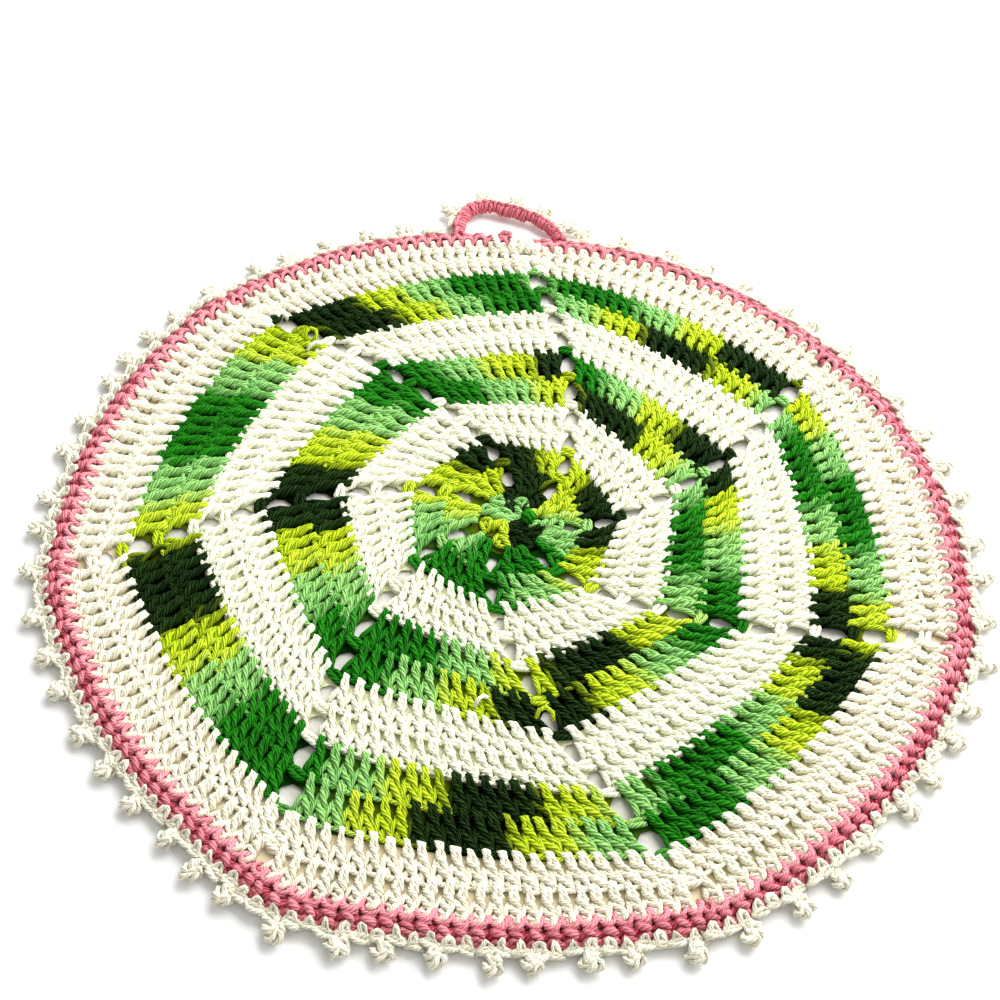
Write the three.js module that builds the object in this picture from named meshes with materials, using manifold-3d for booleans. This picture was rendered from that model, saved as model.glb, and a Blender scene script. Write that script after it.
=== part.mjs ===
// A round crocheted pot holder: a seven-sector pinwheel wheel with a chain space at every corner,
// a pink border round, a cream edging with picots, and a crocheted-over hanging loop.
// It lies flat. Millimetres, +Z up, origin under the wheel's centre, the hanging loop towards +Y.

import * as THREE from 'three';
import { mergeVertices } from 'three/addons/utils/BufferGeometryUtils.js';
import Module from 'manifold-3d';

const wasm = await Module();
wasm.setup();

// Driving sizes. A share is a fraction of RING_R, and a turn is in degrees clockwise from +Y.
const RING_R = 80;
const SECTORS = 7;
const GAP = 0.3;

// The outline of the pink ridge: each corner's turn and share, and the share halfway to the next one
const CORNERS = [
  { turn: -1, corner: 0.95, middle: 0.973 },
  { turn: 50, corner: 0.985, middle: 1.005 },
  { turn: 102.5, corner: 1.035, middle: 1.004 },
  { turn: 153, corner: 1.022, middle: 0.988 },
  { turn: 201, corner: 1.037, middle: 0.99 },
  { turn: 253, corner: 1.012, middle: 0.978 },
  { turn: 306, corner: 0.992, middle: 0.976 },
];
const CORNER_WIDTH = 9;

// The wheel's rounds of double crochet from the centre out. outer is the share at a corner, bow how
// far the sides pull in between corners, hug how far a side follows the outline, hole the share at
// the middle of its corner spaces, lean their turn, wide and long their size in millimetres.
const ROUNDS = [
  { name: 'knot', outer: 0.05, bow: 0, hug: 0 },
  { name: 'first ring', outer: 0.095, bow: 0.2, hug: 0 },
  { name: 'green 1', outer: 0.175, bow: 0.4, hug: 0, hole: 0.131, lean: 42.0, wide: 2.6, long: 3.8 },
  { name: 'green 2', outer: 0.254, bow: 0.6, hug: 0, hole: 0.217, lean: 32.9, wide: 3.0, long: 4.6 },
  { name: 'white 1', outer: 0.324, bow: 0.7, hug: 0, hole: 0.291, lean: 25.8, wide: 3.0, long: 4.4 },
  { name: 'white 2', outer: 0.4, bow: 0.73, hug: 0, hole: 0.357, lean: 21.3, wide: 3.0, long: 4.6 },
  { name: 'green 3', outer: 0.487, bow: 0.73, hug: 0, hole: 0.442, lean: 16.4, wide: 2.9, long: 5.2 },
  { name: 'green 4', outer: 0.573, bow: 0.68, hug: 0, hole: 0.531, lean: 12.6, wide: 3.2, long: 5.0 },
  { name: 'white 3', outer: 0.648, bow: 0.6, hug: 0.1, hole: 0.614, lean: 9.4, wide: 3.4, long: 4.8 },
  { name: 'white 4', outer: 0.716, bow: 0.5, hug: 0.2, hole: 0.681, lean: 6.6, wide: 3.4, long: 4.6 },
  { name: 'green 5', outer: 0.791, bow: 0.4, hug: 0.35, hole: 0.751, lean: 4.2, wide: 3.8, long: 5.4 },
  { name: 'green 6', outer: 0.865, bow: 0.31, hug: 0.5, hole: 0.831, lean: 2.1, wide: 4.6, long: 5.0 },
  { name: 'cream 1', outer: 0.925, bow: 0.15, hug: 0.8, hole: 0.9, lean: 0.3, wide: 4.2, long: 3.4 },
  { name: 'cream 2', outer: 0.96, bow: 0, hug: 1 },
];
// How far each sector's spoke of corner spaces stands off its even place
const SPOKE_DRIFT = [-1.3, -0.25, 0.6, 0.65, -0.25, -1.2, 2.1];

// Heights of the cloth: the grooves between rounds, the crowns of the stitches, the centre knot
const GROOVE_Z = 1.4;
const CROWN_Z = 2.3;
const KNOT_Z = 2.9;
const CROWN_FROM = 0.35;
const CROWN_TO = 0.72;
const STEPS_A_SECTOR = 7;
const HOLE_SIDES = 8;
const CUT_BELOW = -1;
const CUT_HEIGHT = 6;

// Border and edging sections, as [millimetres out from the ridge, height]
const BORDER_OUT = 1.1;
const BORDER_SECTION = [[-1.9, 1.9], [-0.7, 2.2], [0.1, 2.9], [BORDER_OUT, 2.1], [BORDER_OUT, 0]];
const BORDER_INNER_Z = 1.3;
const EDGING_SECTION = [[BORDER_OUT + GAP, 0.5], [BORDER_OUT + GAP, 1.9], [2.1, 2.4], [2.8, 1.6], [2.5, 0.6]];
const BORDER_STEPS = 84;
const EDGING_FROM = 5.0;
const EDGING_TO = 346.1;
const EDGING_STEPS = 116;

// Picots: knobs along the edging, evenly spread between the first and the last turn
const PICOTS = 58;
const FIRST_PICOT = 6.6;
const LAST_PICOT = 344.4;
const PICOT_OUT = 3.4;
const PICOT_Z = 1.5;
const PICOT_SIZE = { wide: 1.6, long: 1.9, high: 1.15 };

// The hanging loop's middle line, from its left foot over the top to its right foot
const LOOP_ROUTE = [
  [-16.9, 77.9, 1.6],
  [-16.9, 79.8, 1.8],
  [-15.9, 82.4, 2.0],
  [-13.6, 84.7, 2.1],
  [-10.6, 85.6, 2.1],
  [-7.4, 85.1, 2.1],
  [-3.2, 84.0, 2.1],
  [0.6, 82.3, 2.0],
  [3.5, 80.4, 1.8],
  [5.2, 78.4, 1.6],
];
const LOOP_R = 1.4;
const LOOP_STEPS = 26;
const LOOP_SIDES = 8;
const STRAND_R = 0.55;
const STRAND_SIDES = 6;
const STRAND_FROM = 0.08;
const STRAND_TO = 0.93;
const LOOP_PICOTS = [0.18, 0.37, 0.56, 0.75, 0.92];
const LOOP_PICOT_OUT = 1.2;

const COLOURS = {
  green: 0x4f8f3c,
  cream: 0xf3efdc,
  pink: 0xd4607c,
};
const YARN = { roughness: 0.85, metalness: 0 };

const rad = THREE.MathUtils.degToRad;
const lerp = THREE.MathUtils.lerp;

function place(r, turn, z) {
  return new THREE.Vector3(r * Math.sin(rad(turn)), r * Math.cos(rad(turn)), z);
}

// The outline's share at a turn: level between corners, swelling or dipping round each of them
function outlineShare(turn) {
  const start = CORNERS[0].turn;
  const t = THREE.MathUtils.euclideanModulo(turn - start, 360) + start;
  const last = CORNERS.length - 1;
  let i = 0;
  while (i < last && CORNERS[i + 1].turn <= t) {
    i += 1;
  }
  const here = CORNERS[i];
  const next = i < last ? CORNERS[i + 1] : { ...CORNERS[0], turn: start + 360 };
  const swell = (away) => 1 / (1 + (away / CORNER_WIDTH) ** 2);
  return here.middle
    + (here.corner - here.middle) * swell(t - here.turn)
    + (next.corner - here.middle) * swell(next.turn - t);
}

function ridge(turn) {
  return RING_R * outlineShare(turn);
}

// The turn of a sector's spoke at a share: the spokes lean further round towards the centre
const SPACED = ROUNDS.filter((round) => round.hole);

function spokeTurn(share, sector) {
  const last = SPACED.length - 1;
  let i = 0;
  while (i < last - 1 && SPACED[i + 1].hole < share) {
    i += 1;
  }
  const inner = SPACED[i];
  const outer = SPACED[i + 1];
  const t = THREE.MathUtils.clamp((share - inner.hole) / (outer.hole - inner.hole), 0, 1.5);
  const turns = Math.floor(sector / SECTORS);
  const drift = SPOKE_DRIFT[sector - turns * SECTORS];
  return lerp(inner.lean, outer.lean, t) + drift + (sector * 360) / SECTORS;
}

// The edge of a round at step k of the way round the wheel
function roundEdge(round, k) {
  const sector = Math.floor(k / STEPS_A_SECTOR);
  const t = k / STEPS_A_SECTOR - sector;
  const turn = lerp(spokeTurn(round.outer, sector), spokeTurn(round.outer, sector + 1), t);
  const half = Math.PI / SECTORS;
  const pull = (Math.cos(half) / Math.cos((2 * t - 1) * half)) ** round.bow;
  const hug = 1 + round.hug * (outlineShare(turn) - 1);
  return { r: RING_R * round.outer * pull * hug, turn };
}

function closedGeometry(points, triangles) {
  const geometry = new THREE.BufferGeometry();
  geometry.setAttribute('position', new THREE.Float32BufferAttribute(points.flatMap((p) => [p.x, p.y, p.z]), 3));
  geometry.setIndex(triangles.flat());
  return geometry;
}

function solidOf(geometry) {
  const bare = geometry.clone();
  bare.deleteAttribute('normal');
  bare.deleteAttribute('uv');
  const merged = mergeVertices(bare, 1e-4);
  return new wasm.Manifold(new wasm.Mesh({
    numProp: 3,
    vertProperties: new Float32Array(merged.attributes.position.array),
    triVerts: new Uint32Array(merged.index.array),
  }));
}

function geometryOf(solid) {
  const mesh = solid.getMesh();
  const geometry = new THREE.BufferGeometry();
  geometry.setAttribute('position', new THREE.BufferAttribute(new Float32Array(mesh.vertProperties), 3));
  geometry.setIndex([...mesh.triVerts]);
  geometry.computeVertexNormals();
  return geometry;
}

function part(name, geometry, color) {
  const mesh = new THREE.Mesh(geometry, new THREE.MeshStandardMaterial({ color, ...YARN }));
  mesh.name = name;
  return mesh;
}

// The uncut wheel: a flat underside and a top that rises to a crown along each round
function wheelGeometry() {
  const steps = SECTORS * STEPS_A_SECTOR;
  const rings = [];
  ROUNDS.forEach((round, i) => {
    const edges = Array.from({ length: steps }, (_, k) => roundEdge(round, k));
    if (i > 0) {
      const inner = rings[rings.length - 1];
      for (const t of [CROWN_FROM, CROWN_TO]) {
        rings.push(edges.map((edge, k) => ({
          r: lerp(inner[k].r, edge.r, t),
          turn: lerp(inner[k].turn, edge.turn, t),
          z: CROWN_Z,
        })));
      }
    }
    rings.push(edges.map((edge) => ({ ...edge, z: GROOVE_Z })));
  });
  const rim = rings[rings.length - 1];
  rings.push(rim.map((p) => ({ ...p, z: 0 })));

  const points = [place(0, 0, KNOT_Z), place(0, 0, 0)];
  rings.forEach((ring) => ring.forEach((p) => points.push(place(p.r, p.turn, p.z))));
  const at = (i, k) => 2 + i * steps + (k % steps);
  const triangles = [];
  const bottom = rings.length - 1;
  for (let k = 0; k < steps; k += 1) {
    triangles.push([0, at(0, k + 1), at(0, k)], [1, at(bottom, k), at(bottom, k + 1)]);
    for (let i = 0; i < bottom; i += 1) {
      triangles.push([at(i, k), at(i, k + 1), at(i + 1, k + 1)], [at(i, k), at(i + 1, k + 1), at(i + 1, k)]);
    }
  }
  return closedGeometry(points, triangles);
}

// One corner space as an upright oval post that cuts right through the cloth
function cornerSpace(round, sector) {
  const outline = new THREE.Shape();
  for (let i = 0; i < HOLE_SIDES; i += 1) {
    const angle = (2 * Math.PI * (i + 0.5)) / HOLE_SIDES;
    const x = (round.wide / 2) * Math.cos(angle);
    const y = (round.long / 2) * Math.sin(angle);
    if (i === 0) {
      outline.moveTo(x, y);
    } else {
      outline.lineTo(x, y);
    }
  }
  const geometry = new THREE.ExtrudeGeometry(outline, { depth: CUT_HEIGHT, bevelEnabled: false });
  const turn = spokeTurn(round.hole, sector);
  const share = round.hole * (1 + round.hug * (outlineShare(turn) - 1));
  geometry.rotateZ(-rad(turn));
  geometry.translate(...place(RING_R * share, turn, CUT_BELOW));
  return solidOf(geometry);
}

function wheel() {
  let solid = solidOf(wheelGeometry());
  for (const round of SPACED) {
    for (let sector = 0; sector < SECTORS; sector += 1) {
      solid = solid.subtract(cornerSpace(round, sector));
    }
  }
  return part('wheel', geometryOf(solid), COLOURS.green);
}

// A band that follows the outline: section(turn) gives its corners as [r, z], anticlockwise seen
// along the turn. A band that isn't a full circle is closed at its two ends.
function bandGeometry(section, from, to, steps) {
  const whole = to - from >= 360;
  const count = whole ? steps : steps + 1;
  const points = [];
  let sides = 0;
  for (let k = 0; k < count; k += 1) {
    const turn = lerp(from, to, k / steps);
    const corners = section(turn);
    sides = corners.length;
    corners.forEach(([r, z]) => points.push(place(r, turn, z)));
  }
  const at = (k, i) => (k % count) * sides + (i % sides);
  const triangles = [];
  for (let k = 0; k < steps; k += 1) {
    for (let i = 0; i < sides; i += 1) {
      triangles.push([at(k, i), at(k + 1, i), at(k + 1, i + 1)], [at(k, i), at(k + 1, i + 1), at(k, i + 1)]);
    }
  }
  if (!whole) {
    for (let i = 1; i < sides - 1; i += 1) {
      triangles.push([at(0, 0), at(0, i), at(0, i + 1)], [at(steps, 0), at(steps, i + 1), at(steps, i)]);
    }
  }
  return closedGeometry(points, triangles);
}

// The pink round: it starts a gap outside the wheel's rim and rises to the chain ridge
function borderSection(turn) {
  const middle = ridge(turn);
  const inner = middle * ROUNDS[ROUNDS.length - 1].outer + GAP;
  const outer = BORDER_SECTION.map(([out, z]) => [middle + out, z]);
  return [[inner, 0], [inner, BORDER_INNER_Z], ...outer];
}

function pinkBorder() {
  return part('pink_border', bandGeometry(borderSection, 0, 360, BORDER_STEPS), COLOURS.pink);
}

function edgingSection(turn) {
  return EDGING_SECTION.map(([out, z]) => [ridge(turn) + out, z]);
}

// A picot knob at a place, pointing away from the edge at a turn
function picotKnob(centre, turn) {
  const knob = new THREE.IcosahedronGeometry(1, 0);
  knob.scale(PICOT_SIZE.wide, PICOT_SIZE.long, PICOT_SIZE.high);
  knob.rotateZ(-rad(turn));
  knob.translate(centre.x, centre.y, centre.z);
  return solidOf(knob);
}

function picotEdging() {
  let solid = solidOf(bandGeometry(edgingSection, EDGING_FROM, EDGING_TO, EDGING_STEPS));
  for (let i = 0; i < PICOTS; i += 1) {
    const turn = lerp(FIRST_PICOT, LAST_PICOT, i / (PICOTS - 1));
    solid = solid.add(picotKnob(place(ridge(turn) + PICOT_OUT, turn, PICOT_Z), turn));
  }
  return part('picot_edging', geometryOf(solid), COLOURS.cream);
}

// A round cord along a curve
function cordGeometry(path, radius, sides, steps) {
  const section = new THREE.Shape();
  for (let i = 0; i < sides; i += 1) {
    const angle = (2 * Math.PI * i) / sides;
    if (i === 0) {
      section.moveTo(radius, 0);
    } else {
      section.lineTo(radius * Math.cos(angle), radius * Math.sin(angle));
    }
  }
  return new THREE.ExtrudeGeometry(section, { steps, bevelEnabled: false, extrudePath: path });
}

const loopPath = new THREE.CatmullRomCurve3(LOOP_ROUTE.map((p) => new THREE.Vector3(...p)));

// A point beside the loop's cord, out on the side away from the wheel, and the turn it faces
function besideLoop(t, out) {
  const p = loopPath.getPointAt(t);
  const along = loopPath.getTangentAt(t);
  const away = new THREE.Vector3(-along.y, along.x, 0).normalize();
  const turn = THREE.MathUtils.radToDeg(Math.atan2(away.x, away.y));
  return { point: p.addScaledVector(away, out), turn };
}

function hangingLoop() {
  const solid = solidOf(cordGeometry(loopPath, LOOP_R, LOOP_SIDES, LOOP_STEPS));
  return part('hanging_loop', geometryOf(solid), COLOURS.pink);
}

// The edging's last stretch, round the outside of the loop, with its own picots
function loopPicots() {
  const out = LOOP_R + GAP + STRAND_R;
  const beside = Array.from({ length: LOOP_STEPS + 1 }, (_, k) => (
    besideLoop(lerp(STRAND_FROM, STRAND_TO, k / LOOP_STEPS), out).point
  ));
  const path = new THREE.CatmullRomCurve3(beside);
  let solid = solidOf(cordGeometry(path, STRAND_R, STRAND_SIDES, LOOP_STEPS));
  for (const t of LOOP_PICOTS) {
    const { point, turn } = besideLoop(t, out + LOOP_PICOT_OUT);
    solid = solid.add(picotKnob(point, turn));
  }
  return part('loop_picots', geometryOf(solid), COLOURS.cream);
}

const potHolder = new THREE.Group();
potHolder.add(wheel(), pinkBorder(), picotEdging(), hangingLoop(), loopPicots());

export default potHolder;
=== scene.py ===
# %% [markdown]
# A crocheted pot holder, lying flat on a pale table.
# The real one is worked in the round from the centre out, in one thread after another: a ring of
# variegated green, white rounds, more green, cream, a pink border, a cream edging with picots, and
# a hanging loop that is crocheted over. Every stitch that shows is modelled here as real strands of
# yarn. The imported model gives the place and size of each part, so it is loaded first.

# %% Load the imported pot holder
import math

import bpy
import numpy as np
from mathutils import Matrix


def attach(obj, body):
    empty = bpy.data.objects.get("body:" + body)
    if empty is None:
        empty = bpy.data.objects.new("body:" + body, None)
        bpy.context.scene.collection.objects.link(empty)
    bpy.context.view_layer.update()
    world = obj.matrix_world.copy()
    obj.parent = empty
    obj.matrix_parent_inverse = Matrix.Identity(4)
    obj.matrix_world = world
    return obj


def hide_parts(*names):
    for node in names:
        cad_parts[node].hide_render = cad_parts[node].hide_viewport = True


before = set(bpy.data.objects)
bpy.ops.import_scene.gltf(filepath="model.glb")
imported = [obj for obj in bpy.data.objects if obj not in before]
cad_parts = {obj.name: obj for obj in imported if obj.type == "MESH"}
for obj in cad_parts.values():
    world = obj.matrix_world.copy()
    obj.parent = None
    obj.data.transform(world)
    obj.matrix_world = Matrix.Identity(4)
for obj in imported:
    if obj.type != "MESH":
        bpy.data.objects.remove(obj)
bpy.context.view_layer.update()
MM = 0.001
print("packed nodes:", sorted(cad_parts))


# %% [markdown]
# The photograph looks down at the mat from its near side, with the camera turned a little to the
# right. A camera can be pointed by a constraint or by angles, but here its three axes were worked
# out from the mat's own outline, so the camera's matrix is written straight from them.

# %% Camera
CAMERA_ELEVATION = math.radians(50.08)
CAMERA_ROLL = math.radians(5.45)
CAMERA_DISTANCE = 0.28672
CAMERA_TARGET = np.array([-0.00248, 0.0056, 0.0])
CAMERA_LENS = 55.98

camera = bpy.data.objects.new("camera", bpy.data.cameras.new("camera"))
bpy.context.scene.collection.objects.link(camera)
bpy.context.scene.camera = camera
camera.data.lens = CAMERA_LENS
camera.data.sensor_width = 36
camera.data.clip_start = 0.01

forward = np.array([0, math.cos(CAMERA_ELEVATION), -math.sin(CAMERA_ELEVATION)])
level_right = np.array([1.0, 0, 0])
level_up = np.array([0, math.sin(CAMERA_ELEVATION), math.cos(CAMERA_ELEVATION)])
right = math.cos(CAMERA_ROLL) * level_right + math.sin(CAMERA_ROLL) * level_up
up = math.cos(CAMERA_ROLL) * level_up - math.sin(CAMERA_ROLL) * level_right
axes = np.eye(4)
axes[:3, 0], axes[:3, 1], axes[:3, 2] = right, up, -forward
axes[:3, 3] = CAMERA_TARGET - forward * CAMERA_DISTANCE
camera.matrix_world = Matrix(axes.tolist())
print("camera stands at", [round(x, 3) for x in camera.matrix_world.translation])


# %% [markdown]
# The light in the photograph is bright and soft: nearly white all round, and strongest behind the
# mat and to its right, so the far rim is paler than the near one and the shadows are short and
# soft. A white world gives most of it. One area light close behind the mat gives the direction, and
# a larger and fainter one on the right lifts what the first leaves grey.

# %% Light and floor
FLOOR_SIZE = 3.0
WORLD_STRENGTH = 0.53
bpy.context.scene.view_settings.view_transform = "Standard"
world = bpy.data.worlds.new("studio")
bpy.context.scene.world = world
world.use_nodes = True
world.node_tree.nodes["Background"].inputs["Color"].default_value = (1, 1, 1, 1)
world.node_tree.nodes["Background"].inputs["Strength"].default_value = WORLD_STRENGTH


def area_light(name, place, size, watts):
    """A square soft light that looks at the mat."""
    bpy.ops.object.light_add(type="AREA", location=place)
    lamp = bpy.context.object
    lamp.name = name
    lamp.data.size = size
    lamp.data.energy = watts
    lamp.rotation_mode = "QUATERNION"
    lamp.rotation_quaternion = (-lamp.location).to_track_quat("-Z", "Y")


area_light("window", (0.15, 0.22, 0.24), 0.45, 3.5)
area_light("fill", (0.5, -0.2, 0.8), 0.8, 1.2)

bpy.ops.object.select_all(action="DESELECT")
bpy.ops.mesh.primitive_plane_add(size=FLOOR_SIZE)
floor = bpy.context.object
floor.name = "floor"
print("floor is", FLOOR_SIZE, "m wide")


# %% [markdown]
# Shader maths reads best as plain arithmetic. This small class wraps a number socket, so that
# adding or multiplying two of them adds a Math node. Colours go through Mix nodes instead, because
# a Math node would turn them grey.

# %% Shader helpers
def plug(socket, value):
    """Links a socket or sets it, whichever the value calls for."""
    if isinstance(value, Number):
        value = value.socket
    if isinstance(value, bpy.types.NodeSocket):
        socket.id_data.links.new(value, socket)
    elif isinstance(value, tuple) and len(value) == 3 and socket.type == "RGBA":
        socket.default_value = (*value, 1)
    else:
        socket.default_value = value


def add_node(tree, kind, settings=(), values=()):
    """A node of a kind, with its settings first and then its sockets' values or links."""
    node = tree.nodes.new("ShaderNode" + kind)
    for name, value in dict(settings).items():
        setattr(node, name, value)
    for name, value in dict(values).items():
        plug(node.inputs[name], value)
    return node


class Number:
    """A shader number that adds, subtracts and multiplies like a Python one."""

    def __init__(self, socket):
        self.socket = socket

    def join(self, operation, first, second):
        tree = self.socket.id_data
        node = add_node(tree, "Math", {"operation": operation}, {0: first, 1: second})
        return Number(node.outputs[0])

    def __add__(self, other):
        return self.join("ADD", self, other)

    def __sub__(self, other):
        return self.join("SUBTRACT", self, other)

    def __rsub__(self, other):
        return self.join("SUBTRACT", other, self)

    def __mul__(self, other):
        return self.join("MULTIPLY", self, other)

    def of(self, operation):
        """A Math node of one input, such as a sine."""
        return self.join(operation, self, 0.0)


def tint(tree, factor, first, second, blend="MIX"):
    """A colour between two colours, or the first one multiplied by the second."""
    settings = {"data_type": "RGBA", "blend_type": blend}
    return add_node(tree, "Mix", settings, {0: factor, 6: first, 7: second}).outputs[2]


def linear(red, green, blue):
    """A colour as the eye names it, 0 to 255, in the scene's own linear numbers."""
    return tuple(((c / 255 + 0.055) / 1.055) ** 2.4 if c > 10 else c / 255 / 12.92
                 for c in (red, green, blue))


print("white yarn in linear numbers:", [round(c, 3) for c in linear(250, 250, 240)])


# %% [markdown]
# Cotton yarn is several plies twisted together. Each strand's UV map runs along it in millimetres and
# round it from 0 to 1, so slanting stripes in that map follow the twist at any bend. Between the
# plies they darken the colour, a painted shade for the grooves. On the tops of the plies they lighten
# it, a painted highlight, and they also lift the bump. Noise mottles the colour. The plies could be
# modelled, but on more than a thousand stitches that would cost millions of faces for lines a tenth
# of a millimetre wide.

# %% Cotton
PLIES = 5
TWIST_PER_MM = 1.5
PLY_BUMP = 0.0002
PLY_GROOVE_SHADE = 0.95
FIBRE_DARK = 0.4
YARN_GLOSS = 0.04
MOTTLE_SCALE = 420.0
FIBRE_SCALE = 2600.0
DEEP_SCALE = 900.0


def new_material(name):
    """A new material, with its node tree and its shader node."""
    material = bpy.data.materials.new(name)
    material.use_nodes = True
    return material, material.node_tree, material.node_tree.nodes["Principled BSDF"]


def noise(tree, scale, detail, roughness):
    """Soft noise through the whole piece, as a number near a half."""
    spot = add_node(tree, "TexCoord").outputs["Object"]
    return Number(add_node(tree, "TexNoise", values={
        "Vector": spot, "Scale": scale, "Detail": detail, "Roughness": roughness}).outputs["Fac"])


def cotton(name, colour_of, gap_shade, wobble, highlight_strength, highlight_colour=(1.0, 1.0, 0.72)):
    """A cotton yarn. colour_of(tree) gives its colour before the painted shade and painted highlights
    of the plies, and before the mottling.
    """
    material, tree, surface = new_material(name)
    surface.inputs["Specular IOR Level"].default_value = YARN_GLOSS
    uv = add_node(tree, "UVMap", {"uv_map": "UVMap"}).outputs["UV"]
    split = add_node(tree, "SeparateXYZ", values={"Vector": uv})
    along, round_it = Number(split.outputs["X"]), Number(split.outputs["Y"])
    wave = ((round_it * PLIES + along * TWIST_PER_MM) * (2 * math.pi)).of("SINE") * 0.5 + 0.5
    mottle = noise(tree, MOTTLE_SCALE, 3.0, 0.6)
    fine = noise(tree, FIBRE_SCALE, 2.0, 0.7)
    colour = colour_of(tree)
    groove = 1 - wave
    # Painted shade in the grooves between the plies, with random mottling
    strength = (groove * groove * PLY_GROOVE_SHADE + (mottle - 0.5) * (2 * wobble)
                + (fine - 0.5) * FIBRE_DARK)
    # A painted highlight on the tops of the plies
    ply_highlight = wave * wave
    ply_highlight = ply_highlight * ply_highlight * fine * highlight_strength
    body = tint(tree, strength, colour, tint(tree, 1.0, colour, gap_shade, "MULTIPLY"))
    plug(surface.inputs["Base Color"], tint(tree, ply_highlight, body, highlight_colour))
    plug(surface.inputs["Roughness"], mottle * 0.2 + 0.62)
    bump = add_node(tree, "Bump", values={
        "Height": wave * 0.7 + fine * 0.5, "Distance": PLY_BUMP, "Strength": 0.8})
    plug(surface.inputs["Normal"], bump.outputs["Normal"])
    return material


def shaded_under_cloth(name, colour_of, shade, deeper_shade):
    """The same yarn deep between the stitches, painted darker as shade and mottled with deeper
    painted shade, and too deep for its plies to show.
    """
    material, tree, surface = new_material(name)
    deep = tint(tree, 1.0, colour_of(tree), shade, "MULTIPLY")
    deeper = tint(tree, 1.0, deep, deeper_shade, "MULTIPLY")
    plug(surface.inputs["Base Color"],
         tint(tree, noise(tree, DEEP_SCALE, 3.0, 0.6), deep, deeper))
    surface.inputs["Roughness"].default_value = 0.9
    surface.inputs["Specular IOR Level"].default_value = 0.05
    return material


def plain(colour):
    """One colour all over, for the makers of materials above."""
    return lambda tree: colour


print("plies in the yarn:", PLIES)


# %% [markdown]
# The table is nearly white. Through the mat's spaces it shows a coarse woven texture, and under the
# mat its colour is painted darker and warmer, a painted shade where the mat shadows it. The painted
# shade is kept to a circle that ends under the mat, and fades into the plain white there.

# %% The table
WEAVE_SCALE = 700.0
WEAVE_AND_SHADE_TO, PLAIN_FROM = 0.066, 0.072
# The dark and pale ends of the woven texture under the mat, both painted shade against the plain
# table
WEAVE_AND_SHADE_DARK, WEAVE_AND_SHADE_PALE = (0.5, 0.48, 0.42), (0.84, 0.82, 0.76)
PLAIN_TABLE = (0.93, 0.93, 0.92)

floor_cloth, table, table_surface = new_material("pale_table")
place = add_node(table, "TexCoord").outputs["Object"]
apart = add_node(table, "VectorMath", {"operation": "LENGTH"}, {0: place}).outputs["Value"]
beyond = add_node(table, "MapRange", values={
    "Value": apart, "From Min": WEAVE_AND_SHADE_TO, "From Max": PLAIN_FROM, "To Min": 0.0, "To Max": 1.0})
# Woven texture with painted shade, fading into the plain table beyond the circle
weave_and_shade = tint(table, noise(table, WEAVE_SCALE, 2.0, 0.5), WEAVE_AND_SHADE_DARK, WEAVE_AND_SHADE_PALE)
plug(table_surface.inputs["Base Color"],
     tint(table, beyond.outputs["Result"], weave_and_shade, PLAIN_TABLE))
table_surface.inputs["Roughness"].default_value = 0.9
floor.data.materials.append(floor_cloth)
print("the weave shows within", WEAVE_AND_SHADE_TO, "m of the middle")


# %% [markdown]
# The green yarn is dyed in runs that mirror back and forth along the thread: dark, lime, mint, mid
# green, and back again. Each stitch stores how many dark runs the thread has passed, as a number
# that grows round the mat, and the shader folds that number back and forth through a colour ramp.

# %% The dyed yarn and the plain ones
DYE_RUNS = [
    (0.00, (9, 28, 2)),
    (0.20, (26, 46, 2)),
    (0.26, (207, 227, 32)),
    (0.46, (215, 234, 60)),
    (0.53, (168, 222, 132)),
    (0.72, (150, 210, 124)),
    (0.79, (32, 134, 16)),
    (1.00, (20, 112, 8)),
]
WHITE = linear(254, 255, 234)
CREAM = linear(255, 251, 230)
EDGE_CREAM = linear(248, 245, 226)


def dyed(tree):
    """The variegated green, from each stitch's place along the thread."""
    run = Number(add_node(tree, "Attribute", {"attribute_name": "run"}).outputs["Fac"])
    fold = 1 - (run.of("FRACT") * 2 - 1).of("ABSOLUTE")
    ramp = add_node(tree, "ValToRGB", values={"Fac": fold})
    stops = ramp.color_ramp.elements
    while len(stops) < len(DYE_RUNS):
        stops.new(0.5)
    for stop, (at, colour) in zip(stops, DYE_RUNS):
        stop.position = at
        stop.color = (*linear(*colour), 1)
    return ramp.outputs["Color"]


def pink_with_painted_shade(tree):
    """Pink with painted shade: deeper where a strand's depth value says so, as along the tight chain
    ridge and under the other strands.
    """
    # The depth value is painted shade
    depth = Number(add_node(tree, "Attribute", {"attribute_name": "depth"}).outputs["Fac"])
    return tint(tree, depth, linear(252, 164, 174), linear(186, 56, 78))


# Each kind of yarn as its material and the record's slot that it belongs to
# After the slot come the colour, the painted shade between the plies, the mottling, and the strength
# and colour of the painted highlight on the tops of the plies
YARNS = {kind: (cotton(kind + "_cotton", *looks), slot) for kind, slot, *looks in (
    ("green", "green_cotton", dyed, (0.2, 0.3, 0.05), 0.22, 0.08, (0.4, 1.0, 0.3)),
    ("white", "white_cotton", plain(WHITE), (0.76, 0.77, 0.62), 0.1, 0.0),
    ("cream", "cream_cotton", plain(CREAM), (0.75, 0.71, 0.62), 0.12, 0.0),
    ("edging", "cream_cotton", plain(EDGE_CREAM), (0.72, 0.68, 0.58), 0.12, 0.0),
    ("pink", "pink_cotton", pink_with_painted_shade, (0.62, 0.36, 0.4), 0.24, 0.16, (1.0, 0.9, 0.86)),
)}
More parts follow.
